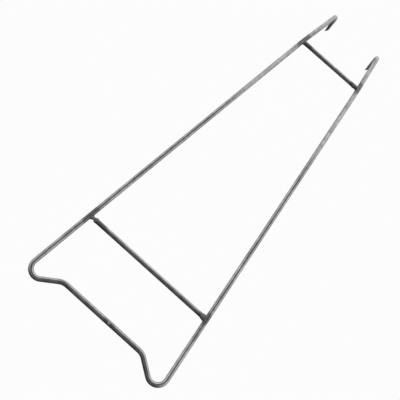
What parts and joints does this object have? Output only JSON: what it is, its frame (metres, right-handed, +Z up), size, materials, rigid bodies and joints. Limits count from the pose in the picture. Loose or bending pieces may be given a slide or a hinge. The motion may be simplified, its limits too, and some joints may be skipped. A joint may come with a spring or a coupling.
{
  "type": "stretcher carry frame",
  "caption": "Hook-on carry frame of bent round steel bar: two splayed side rods with end hooks, cross rods and a dog-legged handle bar.",
  "frame": {"origin": "bottom centre of the whole frame's box, on the floor that the frame rests on", "axes": "+Y along the frame from the handle to the hooks, +X to the right across it, +Z up"},
  "size_m": [0.3415, 0.9194, 0.0514],
  "materials": {
    "side_rod_steel": "bright drawn round bar, lightly scratched, tinted by heat at the welds",
    "cross_rod_steel": "bright drawn round bar, tinted by heat at both ends",
    "weld_metal": "rippled weld beads, wire-brushed"
  },
  "bodies": {
    "root": {"left_side_rod": "side_rod_steel", "right_side_rod": "side_rod_steel", "lower_cross_rod": "cross_rod_steel", "upper_cross_rod": "cross_rod_steel", "lower_left_weld": "weld_metal", "lower_right_weld": "weld_metal", "upper_left_weld": "weld_metal", "upper_right_weld": "weld_metal", "handle_weld": "weld_metal"}
  },
  "joints": []
}
